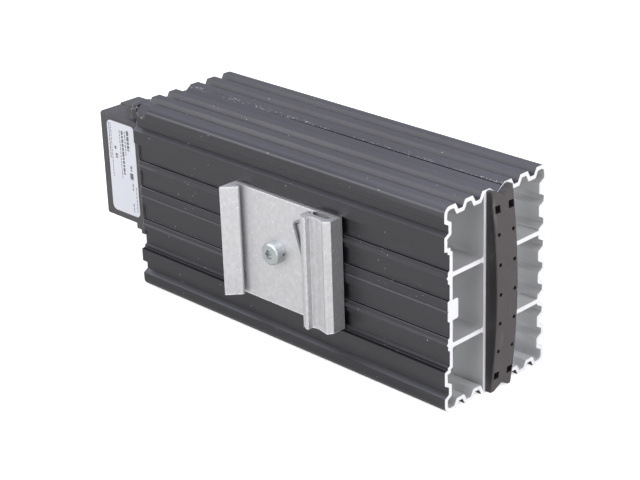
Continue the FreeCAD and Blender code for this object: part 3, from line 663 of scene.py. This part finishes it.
# Each row: place across the label, start and stop down it, all as shares, and the bars' width in mm.
PRINT_ROWS = [
    (0.07, 0.03, 0.42, 0.45),
    (0.13, 0.03, 0.62, 0.32),
    (0.26, 0.27, 0.31, 0.90),
    (0.29, 0.35, 0.40, 1.20),
    (0.45, 0.08, 0.62, 0.36),
    (0.54, 0.08, 0.56, 0.95),
    (0.64, 0.08, 0.34, 0.45),
    (0.74, 0.06, 0.28, 1.15),
    (0.80, 0.44, 0.50, 0.80),
    (0.80, 0.52, 0.60, 1.70),
    (0.82, 0.63, 0.71, 0.50),
    (0.93, 0.66, 0.94, 0.36),
    (0.80, 0.86, 0.95, 0.45),
]
BAR_LENGTHS = (0.35, 1.2)
BAR_STRETCH = 0.7
BAR_GAP = 0.32


def add_bar(mesh, across, down, width, length):
    """Add one bar of print, its middle given in millimetres."""
    size = Vector((width, INK_THICKNESS, length)) * MM
    middle = Vector((across, label_low.y - INK_THICKNESS / 2, down)) * MM
    bmesh.ops.create_cube(mesh, size=1, matrix=Matrix.LocRotScale(middle, None, size))


def label_print():
    """Return the print as one piece."""
    chance = random.Random(4)
    mesh = bmesh.new()
    for across, start, stop, width in PRINT_ROWS:
        x = label_low.x + across * (label_high.x - label_low.x)
        z = label_high.z - start * (label_high.z - label_low.z)
        end = label_high.z - stop * (label_high.z - label_low.z)
        while z > end:
            length = min(chance.uniform(*BAR_LENGTHS) * (BAR_STRETCH + width), z - end)
            add_bar(mesh, x, z - length / 2, width, length)
            z -= length + BAR_GAP
    data = bpy.data.meshes.new("label_print")
    mesh.to_mesh(data)
    mesh.free()
    return bpy.data.objects.new("label_print", data)


ink = label_print()
ink.data.materials.append(ink_finish())
bpy.context.collection.objects.link(ink)
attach(ink, "root")
print("bars of print:", len(ink.data.polygons) // 6)

# %% [markdown]
# ## The studio
# The background is a plain floor. A floor that only glows would be white, but it would lose the shadow
# that sets the heater down. So it is lit by the same lamps as the heater, and some light of its own, seen
# only by the camera and in reflections, lifts it to white.

# %% Floor
FLOOR_HALF = 6.0
FLOOR_GLOW = 0.60
FLOOR_MIRRORED = 0.08


def sight(recipe):
    """Return 1 where the camera looks, and 1 where a mirroring or clear surface looks."""
    rays = recipe.node("ShaderNodeLightPath", {}, {}).socket.node.outputs
    mirrored = Signal(recipe, rays["Is Glossy Ray"]) + Signal(recipe, rays["Is Transmission Ray"])
    return Signal(recipe, rays["Is Camera Ray"]), recipe.maths("MINIMUM", mirrored, 1)


def floor_finish():
    """Return a pale floor that the camera sees as white."""
    recipe = material("studio_floor")
    shade = recipe.noise(400.0, detail=2)
    colour = recipe.blend(shade, (0.80, 0.80, 0.80, 1), (0.82, 0.82, 0.82, 1))
    matt = recipe.node("ShaderNodeBsdfPrincipled", {}, {"Base Color": colour, "Roughness": 0.9})
    seen, mirrored = sight(recipe)
    strength = seen * FLOOR_GLOW + mirrored * FLOOR_MIRRORED
    glow = recipe.node("ShaderNodeEmission", {}, {"Strength": strength})
    return recipe.close(recipe.node("ShaderNodeAddShader", {}, {0: matt, 1: glow}))


def floor():
    """Return the floor as a large flat sheet just under the heater."""
    mesh = bmesh.new()
    bmesh.ops.create_grid(mesh, x_segments=1, y_segments=1, size=FLOOR_HALF)
    data = bpy.data.meshes.new("floor")
    mesh.to_mesh(data)
    mesh.free()
    return bpy.data.objects.new("floor", data)


studio_floor = floor()
studio_floor.data.materials.append(floor_finish())
bpy.context.collection.objects.link(studio_floor)
print("floor is %.0f m wide" % (2 * FLOOR_HALF))

# %% [markdown]
# ## Light
# A picture of a real studio could light the heater, but a sky and four lamps are easier to steer. The
# grey sky gives the even light of a white room. What the heater mirrors of it is grey at eye height and
# bright overhead, as under a large softbox, and that is what draws the fine light lines along the steps
# of the profile. The broad lamps shape the heater: one high in front for the clip and the near side, one
# low on the left whose gleam runs along the rounded edges, one beside the camera that reaches into the
# cells, and one behind on the right that catches the saw cuts.

# %% Sky and lamps
SKY_LIGHT = 0.42
SKY_HORIZON = 0.67
SKY_ZENITH = 2.0
SKY_TINT = (0.93, 0.96, 1.1, 1)
SKY_RISE_START, SKY_RISE_STOP = 0.42, 0.76


def sky():
    """Light the room evenly, white where it is seen and brighter overhead where it is mirrored."""
    recipe = Recipe(bpy.data.worlds.new("sky"))
    direction = recipe.node("ShaderNodeTexCoord", {}, {}, "Generated")
    _, _, rise = recipe.parts(direction)
    seen, mirrored = sight(recipe)
    softbox = recipe.ramp(rise, SKY_RISE_START, SKY_RISE_STOP)
    overhead = SKY_HORIZON + softbox * (SKY_ZENITH - SKY_HORIZON)
    strength = SKY_LIGHT + seen * (1 - SKY_LIGHT) + mirrored * (overhead - SKY_LIGHT)
    tint = recipe.blend(mirrored, (1, 1, 1, 1), SKY_TINT)
    shader = recipe.node("ShaderNodeBackground", {}, {"Color": tint, "Strength": strength})
    return recipe.close(shader, "ShaderNodeOutputWorld")


def lamp(name, place, aim, width, power):
    """Hang a square soft lamp at a place, facing a point, both in millimetres."""
    data = bpy.data.lights.new(name, "AREA")
    data.size = width * MM
    data.energy = power
    made = bpy.data.objects.new(name, data)
    made.location = Vector(place) * MM
    made.rotation_euler = (Vector(aim) - Vector(place)).to_track_quat("-Z", "Y").to_euler()
    bpy.context.collection.objects.link(made)


bpy.context.scene.world = sky()
lamp("key", (50, -750, 700), (0, 0, 30), 600, 4.5)
lamp("gleam", (-640, -700, 330), (0, 0, 30), 350, 1.8)
lamp("fill", (850, -560, 380), (70, 0, 30), 500, 3)
lamp("rim", (850, 350, 450), (60, 0, 30), 500, 7)

# %% [markdown]
# ## Closing the lesson
# The picture is shown as it is computed, with no film curve.

# %% Finish
bpy.context.scene.view_settings.view_transform = "Standard"
